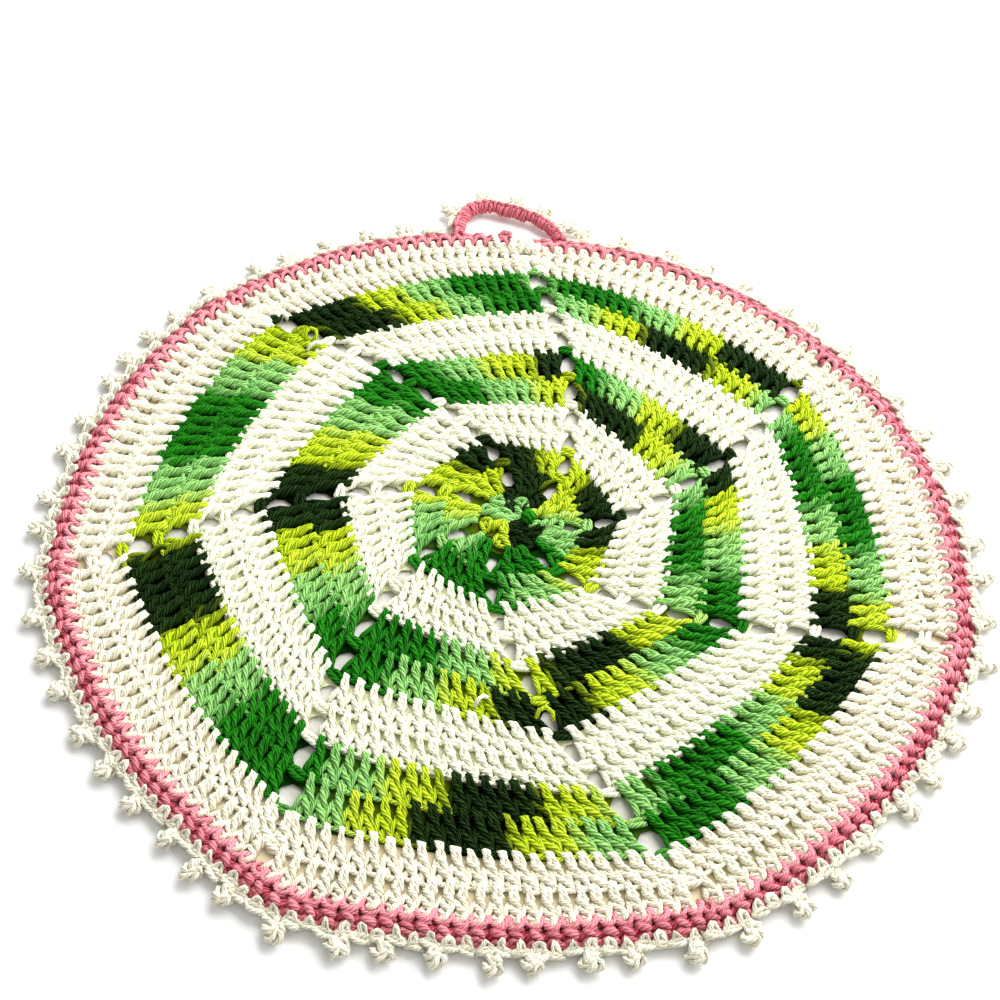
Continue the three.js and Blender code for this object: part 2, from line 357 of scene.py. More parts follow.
# The ground cloth's yarns, painted darker: a painted shade for the depth between the stitches
green_under_shaded = shaded_under_cloth("green_under_shaded", dyed, (0.18, 0.21, 0.04), (0.4, 0.4, 0.4))
white_under_shaded = shaded_under_cloth("white_under_shaded", plain(WHITE), (0.86, 0.86, 0.72), (0.8, 0.78, 0.66))
cream_under_shaded = shaded_under_cloth("cream_under_shaded", plain(CREAM), (0.84, 0.79, 0.68), (0.74, 0.69, 0.6))
print("yarns:", sorted(YARNS))


# %% [markdown]
# The wheel's plan repeats the named sizes of the part's source, in millimetres. A share is a
# fraction of the ring's radius, and a turn is in degrees clockwise from the loop. Each round of
# stitches has seven sides that bow inwards, and the spokes of open corners lean as they go out.

# %% Plan of the wheel
RING_R = 80
SECTORS = 7
CORNERS = [(-1, 0.95, 0.973), (50, 0.985, 1.005), (102.5, 1.028, 1.004), (153, 1.022, 0.988),
           (201, 1.037, 0.99), (253, 1.012, 0.978), (306, 0.992, 0.976)]
CORNER_WIDTH = 9
SPOKE_DRIFT = [-1.3, -0.25, 0.6, 0.65, -0.25, -1.2, 2.1]
SPOKE_SHARES = [0.131, 0.217, 0.291, 0.357, 0.442, 0.531, 0.614, 0.681, 0.751, 0.831, 0.9]
SPOKE_LEANS = [42.0, 32.9, 25.8, 21.3, 16.4, 12.6, 9.4, 6.6, 4.2, 2.1, 0.3]

# Each round: its name, outer share, bow, hug, stitches a sector, width of its corner space, its
# yarn, and the turns at the middle of the thread's dark runs where the yarn is dyed. The first
# ring's stitches are laid one by one further on.
ROUNDS = [
    ("knot", 0.02, 0, 0, 0, 0, "green", []),
    ("first ring", 0.095, 0.2, 0, 0, 0, "green", []),
    ("green 1", 0.175, 0.4, 0, 3, 2.6, "green", []),
    ("green 2", 0.254, 0.6, 0, 5, 3.0, "green", [-189, 74.9, 338.9, 602.9]),
    ("white 1", 0.324, 0.7, 0, 7, 3.0, "white", []),
    ("white 2", 0.4, 0.73, 0, 9, 3.0, "white", []),
    ("green 3", 0.487, 0.73, 0, 11, 2.9, "green", [-92.8, 27.8, 148.4, 269.6, 391]),
    ("green 4", 0.573, 0.68, 0, 13, 3.2, "green", [-46.2, 59.4, 166.2, 269.0, 370.8, 472.8]),
    ("white 3", 0.648, 0.6, 0.1, 15, 3.4, "white", []),
    ("white 4", 0.716, 0.5, 0.2, 17, 3.4, "white", []),
    ("green 5", 0.791, 0.4, 0.35, 19, 3.8, "green",
     [-43.8, 30.8, 105.6, 177.8, 247.8, 322.8, 391.7]),
    ("green 6", 0.865, 0.31, 0.5, 21, 4.6, "green",
     [-23.9, 44.7, 115.7, 181.8, 246.9, 318.5, 381.7]),
    ("cream 1", 0.925, 0.15, 0.8, 23, 4.2, "cream", []),
    ("cream 2", 0.96, 0, 1, 25, 2.6, "cream", []),
]

# In the two smallest rounds the thread's runs are given place by place, as turns and runs
CENTRE_RUNS = {
    "first ring": [(40, 0.2), (88, 0.3), (95, 0.05), (165, 0.1), (180, 0.15), (270, 0.22),
                   (300, 0.3), (345, 0.35), (375, 0.42), (400, 0.48)],
    "green 1": [(8, 0), (33, 0.116), (78, 0.245), (122, 0.375), (170, 0.5), (222, 0.625),
                (262, 0.755), (346, 0.884), (368, 1.0), (393, 1.116)],
}
OUTLINE_KNOTS = np.array([corner[0] for corner in CORNERS] + [CORNERS[0][0] + 360], float)
AT_CORNERS = np.array([corner[1] for corner in CORNERS] + [CORNERS[0][1]])
BETWEEN_CORNERS = np.array([corner[2] for corner in CORNERS])


def outline_share(turn):
    """The mat's outline at each turn: level between corners, swelling or dipping at each."""
    start = CORNERS[0][0]
    wrapped = (np.asarray(turn, float) - start) % 360 + start
    i = np.clip(np.searchsorted(OUTLINE_KNOTS, wrapped, side="right") - 1, 0, SECTORS - 1)
    middle = BETWEEN_CORNERS[i]
    before = 1 / (1 + ((wrapped - OUTLINE_KNOTS[i]) / CORNER_WIDTH) ** 2)
    after = 1 / (1 + ((OUTLINE_KNOTS[i + 1] - wrapped) / CORNER_WIDTH) ** 2)
    return middle + (AT_CORNERS[i] - middle) * before + (AT_CORNERS[i + 1] - middle) * after


def spoke_turn(share, sector):
    """The turn of a sector's spoke of corner spaces at a share."""
    last = len(SPOKE_SHARES) - 1
    i = min(max(int(np.searchsorted(SPOKE_SHARES, share)) - 1, 0), last - 1)
    t = (share - SPOKE_SHARES[i]) / (SPOKE_SHARES[i + 1] - SPOKE_SHARES[i])
    t = min(max(t, 0), 1.5)
    lean = SPOKE_LEANS[i] + (SPOKE_LEANS[i + 1] - SPOKE_LEANS[i]) * t
    return lean + SPOKE_DRIFT[sector % SECTORS] + sector * 360 / SECTORS


def round_edge(index, sector, t):
    """Points on a round's outer edge at fractions t of a sector, as radius and turn."""
    _, outer, bow, hug = ROUNDS[index][:4]
    t = np.asarray(t, float)
    first, last = spoke_turn(outer, sector), spoke_turn(outer, sector + 1)
    turn = first + (last - first) * t
    half = math.pi / SECTORS
    pull = (math.cos(half) / np.cos((2 * t - 1) * half)) ** bow
    return RING_R * outer * pull * (1 + hug * (outline_share(turn) - 1)), turn


def run_along(line):
    """How far along a line each of its points lies."""
    steps = np.linalg.norm(np.diff(line, axis=0), axis=1)
    return np.concatenate([[0], np.cumsum(steps)])


def flat_point(radius, turn):
    """A point on the mat as x and y in millimetres."""
    angle = np.radians(turn)
    return np.stack([radius * np.sin(angle), radius * np.cos(angle)], -1)


def ridge(turn):
    """Points on the line of the pink ridge, which is the mat's outline, in millimetres."""
    return flat_point(RING_R * outline_share(turn), turn)


def dye_run(index, turn):
    """How many dark runs the thread of a dyed round has passed at a turn."""
    if ROUNDS[index][0] in CENTRE_RUNS:
        return np.interp(turn, *zip(*CENTRE_RUNS[ROUNDS[index][0]]))
    darks = ROUNDS[index][7]
    if not darks:
        return np.zeros_like(turn)
    return np.interp(turn, darks, np.arange(len(darks)))


counts = [one[4] * SECTORS for one in ROUNDS[2:]]
print("double crochets outside the first ring:", sum(counts), "in rounds of", counts)


# %% [markdown]
# A strand of yarn is a curve with a small ring for its section, turned into a mesh. A curve gives
# an even tube round any bend, and its own UV map already runs along and round it. The ring has five
# corners only, because the strand is a millimetre thick and there are thousands of them.

# %% A strand of yarn
bpy.ops.object.select_all(action="DESELECT")
bpy.ops.mesh.primitive_circle_add(vertices=5, radius=1, fill_type="NOTHING")
bpy.ops.object.convert(target="CURVE")
yarn_section = bpy.context.object
yarn_section.name = "yarn_section"
random = np.random.default_rng(7)


def choose(*pieces):
    """Selects these pieces and nothing else. The first of them is the active one."""
    bpy.ops.object.select_all(action="DESELECT")
    for piece in pieces:
        piece.select_set(True)
    bpy.context.view_layer.objects.active = pieces[0]


def show(piece):
    """Puts a new piece in the scene and selects it alone."""
    bpy.context.scene.collection.objects.link(piece)
    choose(piece)


def merge_doubles(distance):
    """Merges the active piece's vertices that lie closer together than a distance."""
    bpy.ops.object.mode_set(mode="EDIT")
    bpy.ops.mesh.select_all(action="SELECT")
    bpy.ops.mesh.remove_doubles(threshold=distance)
    bpy.ops.object.mode_set(mode="OBJECT")


def read_rows(items, name):
    """A value of each vertex or face, such as its place, as rows of three."""
    rows = np.zeros(len(items) * 3)
    items.foreach_get(name, rows)
    return rows.reshape(-1, 3)


def read_values(piece, name):
    """A piece's point attribute as an array."""
    values = np.zeros(len(piece.data.vertices))
    piece.data.attributes[name].data.foreach_get("value", values)
    return values


def write_values(piece, name, values):
    """Sets a piece's point attribute, made where it is missing."""
    layer = piece.data.attributes.get(name) or piece.data.attributes.new(name, "FLOAT", "POINT")
    layer.data.foreach_set("value", np.asarray(values, np.float32).ravel())


def strand(points, radius, order=0.0, depth=0.0, closed=False):
    """One strand along points in millimetres, as a mesh tube with closed ends."""
    points = np.asarray(points, float)
    radii = np.broadcast_to(radius, len(points))
    curve = bpy.data.curves.new("strand", "CURVE")
    curve.dimensions = "3D"
    line = curve.splines.new("POLY")
    line.points.add(len(points) - 1)
    for knot, place, thick in zip(line.points, points, radii):
        knot.co = (*place, 1)
        knot.radius = thick
    line.use_cyclic_u = closed
    curve.bevel_mode = "OBJECT"
    curve.bevel_object = yarn_section
    curve.use_fill_caps = not closed
    piece = bpy.data.objects.new("strand", curve)
    show(piece)
    bpy.ops.object.convert(target="MESH")
    piece = bpy.context.object
    merge_doubles(0.0001)
    bpy.ops.object.shade_smooth()
    length = np.linalg.norm(np.diff(points, axis=0), axis=1).sum()
    layer = piece.data.uv_layers["UVMap"].data
    uv = np.zeros(len(layer) * 2)
    layer.foreach_get("uv", uv)
    uv[0::2] *= length
    layer.foreach_set("uv", uv)
    # order is the strand's place along the dye run, and depth is painted shade, which the pink yarn
    # reads
    for name, value in (("order", order), ("depth", depth)):
        write_values(piece, name, np.full(len(piece.data.vertices), value))
    return piece


def join(*pieces):
    """Joins pieces into the first of them."""
    choose(*pieces)
    if len(pieces) > 1:
        bpy.ops.object.join()
    return pieces[0]


def bundle(name, *strands):
    """A pattern piece of one or more strands."""
    pattern = join(*strands)
    pattern.name = name
    print(name, "has", len(pattern.data.polygons), "faces")
    return pattern


# %% [markdown]
# One double crochet. Its two legs come up from under the chain of the round before, pass over it as
# one rounded finger, and then wind round each other like a rope. At the top one leg leans left and
# the other right, so that each meets its neighbour's in a peak, and a chain strand runs across
# behind them. It is modelled once, lying on its back: u to the right, v up the stitch and w out of
# the cloth.

# %% One double crochet
STITCH_W = 2.8
STITCH_H = 6.0
ROPE_MIDDLE = 1.2
ROPE_WIDE = 0.54
ROPE_SPREAD = 0.28
ROPE_DEEP = 0.42
ROPE_R = 0.62
ROPE_LOW, ROPE_HIGH, ROPE_STEPS = 0.85, 4.6, 7
FINGER = [(0.2, -0.4, 0.45), (0.3, -0.98, 0.6), (0.33, -1.16, 1.1), (0.3, -0.74, 1.52),
          (0.28, 0.0, 1.6)]
FINGER_R = [0.42, 0.54, 0.6, 0.6, 0.52]
TAIL_R = [0.5, 0.34]


def leg(side, tail):
    """One leg of a post: the finger at its foot, its half of the rope above, and its tail."""
    path = [(side * u, v, w) for u, v, w in FINGER]
    for k in range(ROPE_STEPS):
        t = k / (ROPE_STEPS - 1)
        angle = 2 * math.pi * t + (math.pi if side < 0 else 0)
        path.append(((ROPE_WIDE + ROPE_SPREAD * t) * math.cos(angle),
                     ROPE_LOW + (ROPE_HIGH - ROPE_LOW) * t,
                     ROPE_MIDDLE + ROPE_DEEP * math.sin(angle)))
    return path + tail, FINGER_R + [ROPE_R] * ROPE_STEPS + TAIL_R


LEFT_TAIL = [(-1.1, 5.0, 1.1), (-1.25, 5.5, 0.7)]
RIGHT_TAIL = [(0.7, 5.2, 1.1), (0.4, 5.7, 0.9)]
SIDE = [(0.95, 1.5, 0.7), (1.15, 2.4, 1.15), (1.45, 3.4, 1.4), (1.75, 4.4, 1.25),
        (1.9, 5.2, 0.8)]
SIDE_R = [0.36, 0.46, 0.52, 0.48, 0.36]
CHAIN = [(-1.6, 5.3, 0.8), (-0.8, 5.45, 1.2), (0.1, 5.6, 1.28), (0.9, 5.5, 1.2),
         (1.6, 5.3, 0.8)]
CHAIN_R = [0.36, 0.46, 0.48, 0.46, 0.36]
double_crochet = bundle(
    "double_crochet",
    strand(*leg(-1, LEFT_TAIL), order=-0.2),
    strand(*leg(1, RIGHT_TAIL), order=0.0),
    strand(SIDE, SIDE_R, order=0.2),
    strand(CHAIN, CHAIN_R, order=0.3),
)

# %% A chain link, and the double crochet of the last round, whose top loop stands up
LINK = [(-1.6, 6.1, 0.85), (-0.8, 6.3, 1.35), (0.4, 6.25, 1.5), (1.2, 6.0, 1.45),
        (1.5, 5.72, 1.4), (1.15, 5.4, 1.4), (0.2, 5.2, 1.45), (-0.8, 5.25, 1.25),
        (-1.5, 5.4, 0.8)]
chain_link = bundle("chain_link", strand(LINK, 0.5))
TOP_LOOP = [(-0.5, 4.0, 1.0), (-0.56, 4.9, 1.9), (-0.38, 5.6, 2.05), (0.1, 5.95, 1.85),
            (0.5, 5.6, 1.3), (0.5, 5.0, 0.6)]
last_crochet = bundle(
    "last_crochet",
    strand(*leg(-1, [(0.5, 5.2, 1.0), (0.5, 5.7, 1.2)]), order=-0.3),
    strand(*leg(1, [(-0.4, 5.3, 1.5), (-0.5, 5.8, 1.2)]), order=0.0),
    strand(TOP_LOOP, 0.5, order=0.3),
    strand(SIDE, SIDE_R, order=0.2),
)


# %% [markdown]
# Copies are made by an Array modifier on the pattern stitch, applied so that each copy has its own
# mesh. The copies come out of the array one after the other, so their points can then be written
# in one go: each copy is bent from its own flat pattern onto its place in the round.

# %% Laying copies of a pattern
LOWEST = 0.02


def unit(vectors):
    """The same directions at a length of 1."""
    return vectors / np.linalg.norm(vectors, axis=-1, keepdims=True)


def repeat(pattern, count, name):
    """Copies of a pattern in one new object. Also gives the pattern's points in millimetres."""
    piece = pattern.copy()
    piece.data = pattern.data.copy()
    piece.name = name
    show(piece)
    points = read_rows(piece.data.vertices, "co")
    if count > 1:
        array = piece.modifiers.new("rows", "ARRAY")
        array.count = count
        bpy.ops.object.modifier_apply(modifier=array.name)
    return piece, points


def write_points(piece, points):
    """Puts a piece's vertices at points given in millimetres, none of them below the table."""
    points[..., 2] = np.maximum(points[..., 2], LOWEST)
    piece.data.vertices.foreach_set("co", (points * MM).astype(np.float32).ravel())
    piece.data.update()


def settle(piece, run):
    """Turns a lone strand's points from millimetres into metres, and gives it one dye run."""
    write_points(piece, read_rows(piece.data.vertices, "co"))
    write_values(piece, "run", np.full(len(piece.data.vertices), run))


def finish_piece(piece, name, kind, node):
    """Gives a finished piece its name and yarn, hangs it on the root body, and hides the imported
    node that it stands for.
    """
    yarn, slot = YARNS[kind]
    piece.name = name
    piece.data.materials.append(yarn)
    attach(piece, "root")
    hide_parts(node)
    print(name, "has", len(piece.data.polygons), "faces")
    return piece


print("no point is laid lower than", LOWEST, "mm")


# %% [markdown]
# No two hand-made stitches are alike. Each copy is stretched to its own height, set down a little
# off its place, and then bent by soft waves that run over the whole mat. The waves' numbers matter
# only in that they share no period, so the nudges never line up with the stitches.

# %% Uneven stitches
UNRULY = 0.19
FOOT_END, HEAD_END = 1.0, 1.2
LIFT_SPREAD = 0.07


def unruly(points, amount=UNRULY):
    """Points in millimetres, nudged by soft waves so that no two stitches are alike."""
    x, y = points[..., 0], points[..., 1]
    nudge = np.stack([
        np.sin(1.31 * x + 2.1 * y + 0.4) + np.sin(0.83 * y - 1.9 * x),
        np.sin(1.57 * y - 1.13 * x + 2.2) + np.sin(0.77 * x + 2.3 * y),
        np.sin(1.21 * x + 1.7 * y + 1.1) * 0.8,
    ], -1)
    return points + nudge * amount * 0.5


def stitch_rise(v, height):
    """How far up a stitch of some height a pattern point lies: its ends keep their size."""
    foot, head = FOOT_END, STITCH_H - HEAD_END
    middle = foot + (v - foot) * (height - foot - HEAD_END) / (head - foot)
    return np.where(v < foot, v, np.where(v < head, middle, height + v - STITCH_H))


def lay_posts(pattern, name, feet, heads, feet_side, heads_side, bulge):
    """Copies of a stitch pattern, each from its foot to its head along a round."""
    count = len(feet)
    piece, flat = repeat(pattern, count, name)
    u, v, w = (flat[:, i][None, :] for i in range(3))
    rise = heads - feet
    height = np.linalg.norm(rise, axis=1)[:, None]
    share = stitch_rise(v, height) / height
    level = np.clip(share, 0, 1)[..., None]
    side = feet_side[:, None, :] * (1 - level) + heads_side[:, None, :] * level
    bend = bulge[:, None] * np.sin(math.pi * np.clip(share, 0, 1))
    points = feet[:, None, :] + rise[:, None, :] * share[..., None]
    points = points + side * u[..., None] + heads_side[:, None, :] * bend[..., None]
    lift = w + random.normal(0, LIFT_SPREAD, (count, 1))
    points = np.concatenate([points, np.broadcast_to(lift, share.shape)[..., None]], -1)
    write_points(piece, unruly(points))
    return piece


print("pattern stitch is", STITCH_W, "by", STITCH_H, "mm")


# %% [markdown]
# A round has an odd number of double crochets in each of its seven sectors. They stand clear of the
# corner space at both ends of the sector, and one chain link bridges over the space. The heads are
# on the round's outer edge and the feet on the edge of the round inside it, so the posts lean the
# way the real ones do without being told to.

# %% One round of stitches
TOP_KEEP = 0.40
FOOT_KEEP = 0.33
POST_HALF = 1.0
MARGIN_MOST = 0.35
NARROWEST, WIDEST = 0.8, 1.12
PLACE_SPREAD, SIZE_SPREAD, RUN_SPREAD = 0.13, 0.06, 0.12
CORNER_BOW, CORNER_FADE = 0.13, 0.35
SIDE_STEP = 0.5
# The turns of each round's heads, for the border that is worked over them
HEAD_TURNS = {}


def side_vectors(radius, turn):
    """The direction along the round at each point, clockwise."""
    return unit(flat_point(radius, turn + SIDE_STEP) - flat_point(radius, turn - SIDE_STEP))


def crochet_round(index, pattern, head_out=0.0):
    """All the stitches of one round, and the chain links over its corner spaces."""
    name, _, _, _, a_sector, space = ROUNDS[index][:6]
    feet, heads, feet_sides, heads_sides, bulges, turns = [], [], [], [], [], []
    corners, corner_sides, corner_turns = [], [], []
    away = np.arange(a_sector)
    for sector in range(SECTORS):
        for edge, keep, out, points, sides in (
                (index - 1, FOOT_KEEP, 0.0, feet, feet_sides),
                (index, TOP_KEEP, head_out, heads, heads_sides)):
            line = flat_point(*round_edge(edge, sector, np.linspace(0, 1, 41)))
            length = np.linalg.norm(np.diff(line, axis=0), axis=1).sum()
            margin = min((space * keep + POST_HALF) / length, MARGIN_MOST)
            t = margin + (1 - 2 * margin) * (away / (a_sector - 1))
            radius, turn = round_edge(edge, sector, t)
            radius = radius + out
            pitch = length * (1 - 2 * margin) / (a_sector - 1)
            size = min(max(pitch / STITCH_W, NARROWEST), WIDEST)
            points.append(flat_point(radius, turn)
                          + random.normal(0, PLACE_SPREAD, (a_sector, 2)))
            sides.append(side_vectors(radius, turn) * size
                         * random.normal(1, SIZE_SPREAD, (a_sector, 1)))
        turns.append(turn)
        bulges.append(CORNER_BOW * space
                      * (CORNER_FADE ** away - CORNER_FADE ** (a_sector - 1 - away)))
        radius, turn = round_edge(index, sector, np.array([0.0]))
        corners.append(flat_point(radius + head_out, turn))
        corner_sides.append(side_vectors(radius, turn))
        corner_turns.append(turn)
    feet, heads, feet_sides, heads_sides, bulges, turns = (
        np.concatenate(x) for x in (feet, heads, feet_sides, heads_sides, bulges, turns))
    HEAD_TURNS[name] = turns
    posts = lay_posts(pattern, name, feet, heads, feet_sides, heads_sides, bulges)
    order = read_values(posts, "order").reshape(len(turns), -1)
    step = 360 / SECTORS / a_sector
    loose = random.normal(0, RUN_SPREAD, (len(turns), 1))
    write_values(posts, "run", dye_run(index, turns[:, None] + (order + loose) * step))
    if pattern is not double_crochet:
        return [posts]
    corners, corner_sides, corner_turns = (
        np.concatenate(x) for x in (corners, corner_sides, corner_turns))
    links = lay_posts(chain_link, name, corners - unit(corners) * STITCH_H, corners,
                      corner_sides, corner_sides, np.zeros(SECTORS))
    run = dye_run(index, np.repeat(corner_turns, len(links.data.vertices) // SECTORS))
    write_values(links, "run", run)
    return [posts, links]


# %% [markdown]
# Some stitches follow no rule and are laid one by one. Those of the first ring crowd round a knot,
# where the round end of a thread stands up. In the first cream round five of the seven corner
# spaces are worked shut, and two posts close each of them.

# %% Stitches laid one by one
# Each stitch of the first ring: its foot, its head, and its dye run
FIRST_RING = np.array([
    (-0.2, 0.4, -3.4, 5.4, 0.31), (-1.0, -0.3, -5.7, 2.6, 0.3), (-1.5, -0.9, -5.6, -2.4, 0.19),
    (-1.2, -1.5, -1.3, -6.7, 0.2), (0.2, -1.4, 3.4, -6.6, 0.02), (1.2, -1.3, 5.9, -4.2, 0.02),
    (1.6, -0.6, 6.6, -2.0, 0.03), (4.0, -0.6, 9.4, 0.2, 0.3), (3.6, 1.9, 7.9, 4.3, 0.235),
    (2.4, 2.9, 5.6, 6.4, 0.02), (0.9, 0.6, 1.4, 5.6, 0.36), (-0.8, 3.2, -1.0, 7.4, 0.03)])
FIRST_RING_HEADS = 0.9
KNOT_TOP = [(2.8, -0.7, 1.9), (3.0, 0.2, 2.8), (2.9, 1.3, 2.2)]
KNOT_TOP_R = [1.0, 1.55, 1.1]
KNOT_TOP_RUN = 0.397
CREAM_1 = 12
SHUT_SECTORS = [0, 1, 3, 4, 6]
SHUT_TURNS = [-1.15, 1.1]
SHUT_OUT = 0.8


def lay_single(name, feet, heads, head_size=1.0):
    """Double crochets each from its own foot to its own head."""
    rise = heads - feet
    sides = unit(np.stack([rise[:, 1], -rise[:, 0]], 1))
    return lay_posts(double_crochet, name, feet, heads, sides, sides * head_size,
                     np.zeros(len(feet)))


def first_ring():
    """The stitches of the first ring, and the end of thread that stands up beside them."""
    posts = lay_single("first_ring", FIRST_RING[:, 0:2], FIRST_RING[:, 2:4], FIRST_RING_HEADS)
    each = len(posts.data.vertices) // len(FIRST_RING)
    write_values(posts, "run", np.repeat(FIRST_RING[:, 4], each))
    top = strand(KNOT_TOP, KNOT_TOP_R)
    settle(top, KNOT_TOP_RUN)
    return [posts, top]


def shut_corners():
    """Two posts over each corner space of the first cream round that is worked shut."""
    feet, heads = [], []
    for sector in SHUT_SECTORS:
        for aside in SHUT_TURNS:
            for edge, points in ((CREAM_1 - 1, feet), (CREAM_1, heads)):
                radius, turn = round_edge(edge, sector, 0.0)
                points.append(flat_point(radius + SHUT_OUT, turn + aside))
    return lay_single("shut_corners", np.array(feet), np.array(heads))


print("stitches in the first ring:", len(FIRST_RING))

# %% Rounds from the centre out
def crochet_band(name, first, last, kind):
    """Several rounds of one yarn as one piece of the mat."""
    parts = first_ring() if first == 1 else []
    for index in range(max(first, 2), last + 1):
        parts += crochet_round(index, double_crochet)
    return finish_piece(join(*parts), name, kind, "wheel")


HEADS_OVER_EDGE = 1.5
wheel_bands = [
    crochet_band("stitches_green_centre", 1, 3, "green"),
    crochet_band("stitches_white_inner", 4, 5, "white"),
    crochet_band("stitches_green_middle", 6, 7, "green"),
    crochet_band("stitches_white_outer", 8, 9, "white"),
    crochet_band("stitches_green_outer", 10, 11, "green"),
    crochet_band("stitches_cream", 12, 12, "cream"),
]
rim = join(*crochet_round(13, last_crochet, HEADS_OVER_EDGE), shut_corners())
wheel_bands.append(finish_piece(rim, "stitches_cream_rim", "cream", "wheel"))


# %% [markdown]
# Between the stitches lies the rest of the cloth, which the posts and chains make from thread that
# hardly shows. One thin sheet stands for it, and its yarns are painted darker than the stitches: a
# painted shade for the depth between them. The imported wheel already has the right outline and all
# its corner spaces cut through, so the sheet is a copy of it, merged and pressed flat, and each face
# takes the yarn and dye of the round that it lies in.

# %% The ground cloth
GROUND_LOW = 0.35
GROUND_HIGH = 0.55
UNDERSIDE_BELOW = 0.4
# Spaces by the centre knot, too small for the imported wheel: x, y and radius
SMALL_SPACES = [(-3.7, -4.5, 1.0), (0.8, -5.4, 1.0), (-3.6, 2.7, 0.7), (-5.1, -0.6, 0.7)]
DRILL_DEPTH = 0.02
UV_PER_MM = 0.35


def edge_radius(index, turn):
    """The radius of a round's outer edge at any turn."""
    found = np.zeros_like(turn)
    outer = ROUNDS[index][1]
    for sector in range(-1, SECTORS + 1):
        first, last = spoke_turn(outer, sector), spoke_turn(outer, sector + 1)
        inside = (turn >= first) & (turn < last)
        t = np.clip((turn - first) / (last - first), 0, 1)
        radius, _ = round_edge(index, sector, t)
        found = np.where(inside, radius, found)
    return found


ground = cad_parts["wheel"].copy()
ground.data = ground.data.copy()
ground.parent = None
for key in list(ground.keys()):
    del ground[key]
ground.name = "ground_cloth"
ground.hide_render = ground.hide_viewport = False
show(ground)
merge_doubles(0.00001)
for x, y, wide in SMALL_SPACES:
    bpy.ops.mesh.primitive_cylinder_add(vertices=12, radius=wide * MM, depth=DRILL_DEPTH,
                                        location=(x * MM, y * MM, 0))
    drill = bpy.context.object
    cut = ground.modifiers.new("space", "BOOLEAN")
    cut.operation, cut.solver, cut.object = "DIFFERENCE", "EXACT", drill
    bpy.context.view_layer.objects.active = ground
    bpy.ops.object.modifier_apply(modifier=cut.name)
    bpy.data.objects.remove(drill)
cloth = read_rows(ground.data.vertices, "co") / MM
cloth[:, 2] = np.where(cloth[:, 2] > UNDERSIDE_BELOW, GROUND_HIGH, GROUND_LOW)
write_points(ground, cloth)
faces = ground.data.polygons
print("ground cloth has", len(faces), "faces")

# %% The ground cloth's yarns
centres = read_rows(faces, "center") / MM
radius = np.linalg.norm(centres[:, :2], axis=1)
turn = np.degrees(np.arctan2(centres[:, 0], centres[:, 1])) % 360
round_of = np.zeros(len(faces), int)
for index in range(len(ROUNDS) - 1):
    round_of += radius > edge_radius(index, turn)
# Each face gets its round's yarn painted darker, a painted shade
ground.data.materials.clear()
yarns = {"green": 0, "white": 1, "cream": 2}
for yarn in (green_under_shaded, white_under_shaded, cream_under_shaded):
    ground.data.materials.append(yarn)
faces.foreach_set("material_index", [yarns[ROUNDS[i][6]] for i in round_of])
run_layer = ground.data.attributes.new("run", "FLOAT", "CORNER")
for face, index in zip(faces, round_of):
    for corner in face.loop_indices:
        x, y, _ = ground.data.vertices[ground.data.loops[corner].vertex_index].co
        here = math.degrees(math.atan2(x, y)) % 360
        middle = math.degrees(math.atan2(face.center.x, face.center.y)) % 360
        here += 360 * round((middle - here) / 360)
        start = spoke_turn(ROUNDS[index][1], 0)
        lap = (middle - start) // 360
        run_layer.data[corner].value = float(dye_run(index, np.array(here - 360 * lap)))
while ground.data.uv_layers:
    ground.data.uv_layers.remove(ground.data.uv_layers[0])
ground_uv = ground.data.uv_layers.new(name="UVMap")
spots = np.array([ground.data.vertices[c.vertex_index].co[:2] for c in ground.data.loops])
ground_uv.data.foreach_set("uv", (spots / MM * UV_PER_MM).ravel())
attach(ground, "root")
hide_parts("wheel")
print("ground cloth has", len(ground.data.materials), "yarns")


# %% [markdown]
# The pink border is one round of single crochet. Each stitch throws an arch of yarn over the top of a
# cream post, and its tight chain makes a ridge of knobs. More pink strands run under them all, where
# the real thread doubles back. These and the ridge are painted a deeper pink, a painted shade where
# they lie low and under the others. One stitch is modelled flat, with v measured outwards from the
# ridge, and its copies follow the outline of the mat.

# %% One border stitch
EDGE_W = 2.6
FAR_SQUEEZE = 0.3
PICOT_SQUEEZE = 0.06
# How much of the border's painted shade is lifted on the far side: painted light
FAR_PAINTED_LIGHT = 0.9
BORDER_SIZE = 1.04
BORDER_LOOSE, BORDER_WILD, DEPTH_SPREAD = 0.1, 0.28, 0.07
# The turns between which the last round was joined, where cream thread covers the border
JOIN_FROM, JOIN_TO = 355.9, 358.9
